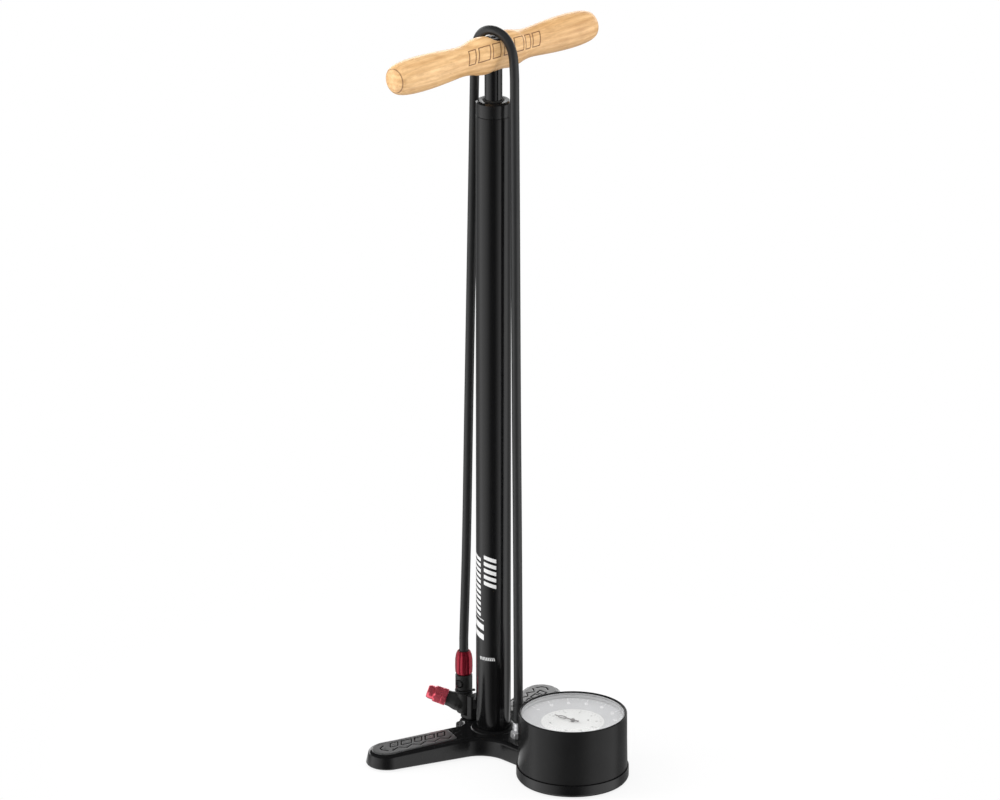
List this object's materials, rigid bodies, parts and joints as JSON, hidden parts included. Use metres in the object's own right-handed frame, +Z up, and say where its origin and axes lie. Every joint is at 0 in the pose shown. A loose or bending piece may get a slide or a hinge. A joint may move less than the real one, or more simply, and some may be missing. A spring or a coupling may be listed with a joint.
{
  "type": "floor bike pump",
  "caption": "Three-legged floor pump for bicycle tyres with a tall barrel, turned wooden handle, large top-reading gauge and a hose hooked over the handle.",
  "frame": {"origin": "on the barrel axis at the floor, at the middle of the hub's rubber foot", "axes": "+Z up along the barrel; the gauge leg points to -Y; the handle lies along X"},
  "size_m": [0.25, 0.2239, 0.6937],
  "materials": {
    "base_paint": "gloss",
    "rubber_black": "matt",
    "rubber_grey": "matt",
    "barrel_paint": "gloss",
    "cap_paint": "gloss",
    "plastic_black": "satin",
    "brass_plain": "turned",
    "steel_plain": "plain",
    "rod_paint": "gloss",
    "wood_varnished": "varnished",
    "bolt_black": "blackened",
    "housing_black": "satin",
    "ring_grey": "satin",
    "lens_clear": "clear",
    "dial_print": "printed",
    "chrome_bright": "polished",
    "hose_rubber": "satin",
    "red_anodised": "anodised",
    "chuck_black": "satin"
  },
  "bodies": {
    "base": {"base_casting": "base_paint", "foot_left": "rubber_black", "foot_right": "rubber_black", "foot_gauge": "rubber_black", "foot_hub": "rubber_black", "grip_pad_left": "rubber_grey", "grip_pad_right": "rubber_grey", "barrel_gasket": "rubber_black", "barrel": "barrel_paint", "barrel_cap": "cap_paint", "rod_bushing": "plastic_black", "rod_wiper": "rubber_black", "valve_seat": "brass_plain", "valve_spring": "steel_plain", "gauge_housing": "housing_black", "gauge_ring": "ring_grey", "gauge_lens": "lens_clear", "gauge_dial": "dial_print", "gauge_movement": "brass_plain", "bourdon_tube": "brass_plain", "gauge_stem": "brass_plain", "hose_nut": "chrome_bright", "dock_post": "plastic_black", "dock_clip": "plastic_black", "hose": "hose_rubber"},
    "piston": {"piston_head": "plastic_black", "piston_seal": "rubber_black", "piston_bolt": "steel_plain", "piston_bumper": "rubber_black"},
    "rod": {"rod": "rod_paint", "rod_plug": "steel_plain", "handle": "wood_varnished", "handle_bolt": "bolt_black"},
    "pointer": {"gauge_pointer": "plastic_black", "gauge_spindle": "steel_plain"},
    "poppet": {"valve_poppet": "rubber_black"},
    "hose_swivel": {"hose_stem": "chrome_bright"},
    "chuck": {"chuck_body": "chuck_black", "chuck_flange": "chuck_black", "chuck_yoke": "chuck_black"},
    "collar": {"chuck_collar": "red_anodised"},
    "nozzle": {"chuck_nozzle": "red_anodised", "nozzle_seal": "rubber_black"},
    "button": {"bleed_button": "chuck_black"}
  },
  "joints": [
    {"name": "pump_stroke", "type": "slide", "parent": "base", "child": "piston", "axis": [0, 0, 1], "range_m": [0, 0.52], "deforming": ["hose"]},
    {"name": "handle_turn", "type": "hinge", "parent": "piston", "child": "rod", "pos_m": [0, 0, 0.6696], "axis": [0, 0, 1], "range_deg": [-12, 12], "deforming": ["hose"]},
    {"name": "pointer_sweep", "type": "hinge", "parent": "base", "child": "pointer", "pos_m": [0, -0.1032, 0.0562], "axis": [0, 0, -1], "range_deg": [0, 270], "stiffness_Nm_per_rad": 0.0005},
    {"name": "check_valve_lift", "type": "slide", "parent": "base", "child": "poppet", "axis": [0, 0, -1], "range_m": [0, 0.0012], "stiffness_N_per_m": 60, "springref_m": -0.002, "deforming": ["valve_spring"]},
    {"name": "hose_end_swivel", "type": "hinge", "parent": "base", "child": "hose_swivel", "pos_m": [0, -0.0324, 0.028], "axis": [0, 0, 1], "continuous": true},
    {"name": "chuck_lift", "type": "slide", "parent": "base", "child": "chuck", "axis": [0, 0, 1], "range_m": [0, 0.012], "deforming": ["hose"]},
    {"name": "collar_turn", "type": "hinge", "parent": "chuck", "child": "collar", "pos_m": [0, 0.0391, 0.072], "axis": [0, 0, 1], "continuous": true},
    {"name": "nozzle_turn", "type": "hinge", "parent": "chuck", "child": "nozzle", "pos_m": [0, 0.0381, 0.0305], "axis": [-0.5875, 0.752, 0.299], "continuous": true},
    {"name": "bleed_press", "type": "slide", "parent": "chuck", "child": "button", "axis": [0.9816, 0.1908, 0], "range_m": [0, 0.0014], "stiffness_N_per_m": 400, "springref_m": -0.001}
  ]
}
